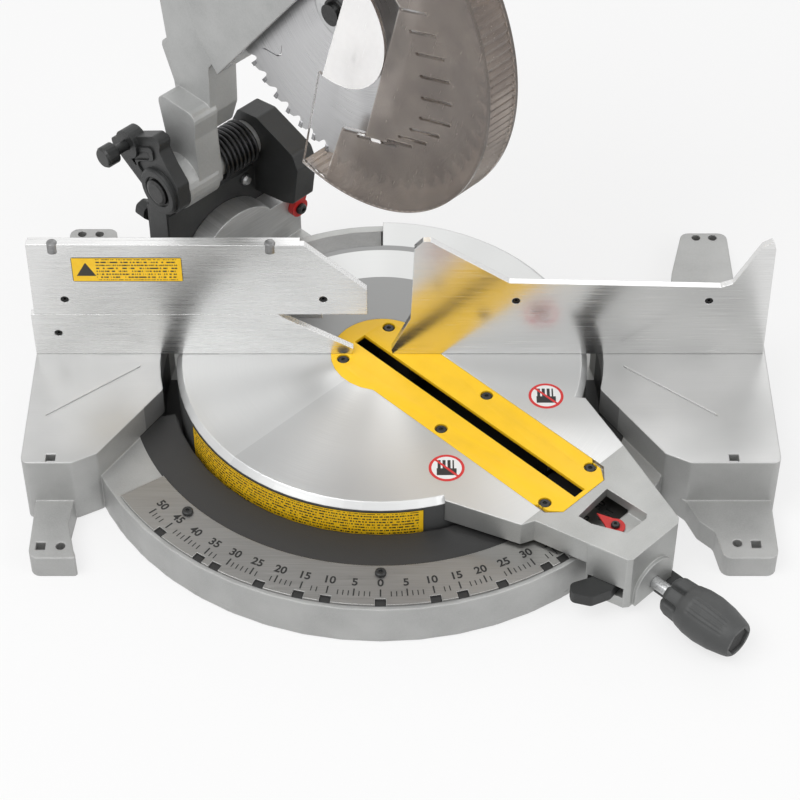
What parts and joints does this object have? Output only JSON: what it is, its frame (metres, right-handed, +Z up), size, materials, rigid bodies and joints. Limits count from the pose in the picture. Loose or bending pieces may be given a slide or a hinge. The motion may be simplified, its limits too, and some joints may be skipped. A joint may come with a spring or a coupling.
{
  "type": "compound miter saw",
  "caption": "Bench saw whose circular blade chops down through a kerf plate on a rotating table and tilts for bevel cuts against tall fences.",
  "frame": {"origin": "centre of the whole saw's box, on the bench surface under its feet", "axes": "+X to the operator's right, +Y away from the operator, +Z up"},
  "size_m": [0.614, 0.536, 0.6985],
  "materials": {
    "cast": "sand-cast grey paint",
    "machined": "machined and brushed",
    "dark": "moulded, fine texture",
    "black": "moulded, fine texture",
    "yellow": "smooth moulded",
    "red": "smooth moulded",
    "steel": "zinc plated",
    "blade": "ground",
    "smoke": "smoky translucent"
  },
  "bodies": {
    "base": {"base_casting": "cast", "miter_scale": "dark", "scale_screw_1": "steel", "scale_screw_2": "steel", "scale_screw_3": "steel", "fence_right": "machined", "fence_bolt_right_1": "steel", "fence_bolt_right_2": "steel", "fence_left_rail": "machined", "fence_bolt_left_1": "steel", "fence_bolt_left_2": "steel", "miter_pivot_bolt": "steel"},
    "fence_slide": {"fence_left_slide": "machined"},
    "fence_clamp": {"fence_clamp_knob": "black"},
    "turntable": {"turntable": "machined", "kerf_plate": "yellow", "kerf_screw_1": "steel", "kerf_screw_2": "steel", "kerf_screw_3": "steel", "kerf_screw_4": "steel", "kerf_screw_5": "steel", "kerf_screw_6": "steel", "miter_pointer": "red", "pointer_screw": "black", "pawl_screw": "black", "bevel_pivot_pin": "steel"},
    "miter_lock": {"miter_lock_rod": "steel", "miter_lock_knob": "dark"},
    "miter_latch": {"miter_latch_lever": "black"},
    "detent_override": {"detent_override_paddle": "black"},
    "bevel_stop": {"bevel_stop_pawl": "red"},
    "bevel_support": {"bevel_support": "black", "chop_pivot_pin": "steel", "bevel_stop_bolt": "steel", "chop_spring": "black"},
    "bevel_lock": {"bevel_lock_lever": "black"},
    "lock_down": {"lock_down_pin": "steel"},
    "head": {"head_casting": "machined", "motor_housing": "yellow", "brush_cap_front": "black", "brush_cap_rear": "black", "motor_end_cap": "black", "cord_gland": "black", "handle_left": "black", "handle_right": "black", "carry_handle": "black", "dust_chute": "black"},
    "trigger": {"trigger": "yellow"},
    "spindle_lock": {"spindle_lock_button": "red"},
    "lower_guard": {"lower_guard": "smoke"},
    "blade": {"blade": "blade", "flange_inner": "steel", "flange_outer": "steel", "arbor_shaft": "steel", "arbor_bolt": "black"},
    "armature": {"armature": "steel"}
  },
  "joints": [
    {"name": "miter", "type": "hinge", "parent": "base", "child": "turntable", "pos_m": [-0.016, 0.01414, 0.067], "axis": [0, 0, 1], "range_deg": [-95, 5]},
    {"name": "fence_slide", "type": "slide", "parent": "base", "child": "fence_slide", "axis": [-1, 0, 0], "range_m": [0, 0.215]},
    {"name": "fence_clamp", "type": "hinge", "parent": "fence_slide", "child": "fence_clamp", "pos_m": [-0.266, 0.03014, 0.104], "axis": [0, 1, 0], "range_deg": [0, 180]},
    {"name": "miter_lock", "type": "hinge", "parent": "turntable", "child": "miter_lock", "pos_m": [0.21381, -0.21001, 0.0214], "axis": [0.7071, -0.7071, 0], "range_deg": [0, 270]},
    {"name": "miter_latch", "type": "hinge", "parent": "turntable", "child": "miter_latch", "pos_m": [0.17421, -0.19304, 0.02], "axis": [0, 0, 1], "range_deg": [0, 12], "stiffness_Nm_per_rad": 0.5},
    {"name": "detent_override", "type": "hinge", "parent": "turntable", "child": "detent_override", "pos_m": [0.1933, -0.16688, 0.009], "axis": [0, 0, 1], "range_deg": [-18, 18]},
    {"name": "bevel_stop", "type": "hinge", "parent": "turntable", "child": "bevel_stop", "pos_m": [-0.09378, 0.18526, 0.085], "axis": [0.7071, -0.7071, 0], "range_deg": [-35, 0]},
    {"name": "bevel", "type": "hinge", "parent": "turntable", "child": "bevel_support", "pos_m": [-0.15459, 0.15273, 0.067], "axis": [0.7071, -0.7071, 0], "range_deg": [-3, 48]},
    {"name": "bevel_lock", "type": "hinge", "parent": "bevel_support", "child": "bevel_lock", "pos_m": [-0.17439, 0.17253, 0.067], "axis": [0.7071, -0.7071, 0], "range_deg": [-20, 45]},
    {"name": "lock_down", "type": "slide", "parent": "bevel_support", "child": "lock_down", "axis": [0.7071, 0.7071, 0], "range_m": [0, 0.012]},
    {"name": "chop", "type": "hinge", "parent": "bevel_support", "child": "head", "pos_m": [-0.15884, 0.15698, 0.163], "axis": [0.7071, 0.7071, 0], "range_deg": [0, 51.5], "stiffness_Nm_per_rad": 18, "springref_deg": -68.75, "deforming": ["chop_spring"]},
    {"name": "trigger", "type": "hinge", "parent": "head", "child": "trigger", "pos_m": [-0.0344, 0.03254, 0.6798], "axis": [0.7071, 0.7071, 0], "range_deg": [-9, 0], "stiffness_Nm_per_rad": 0.6},
    {"name": "spindle_lock", "type": "slide", "parent": "head", "child": "spindle_lock", "axis": [-0.4402, 0.4402, -0.7826], "range_m": [0, 0.005], "stiffness_N_per_m": 400},
    {"name": "lower_guard", "type": "hinge", "parent": "head", "child": "lower_guard", "pos_m": [-0.0438, 0.04194, 0.40287], "axis": [-0.7071, -0.7071, 0], "range_deg": [0, 157]},
    {"name": "blade_spin", "type": "hinge", "parent": "head", "child": "blade", "pos_m": [-0.0438, 0.04194, 0.40287], "axis": [0.7071, 0.7071, 0], "continuous": true},
    {"name": "armature_spin", "type": "hinge", "parent": "head", "child": "armature", "pos_m": [-0.08116, 0.0793, 0.42318], "axis": [0.7071, 0.7071, 0], "continuous": true}
  ],
  "couplings": [
    {"joint": "lower_guard", "follows": "chop", "ratio": 3.04},
    {"joint": "armature_spin", "follows": "blade_spin", "ratio": -4}
  ]
}
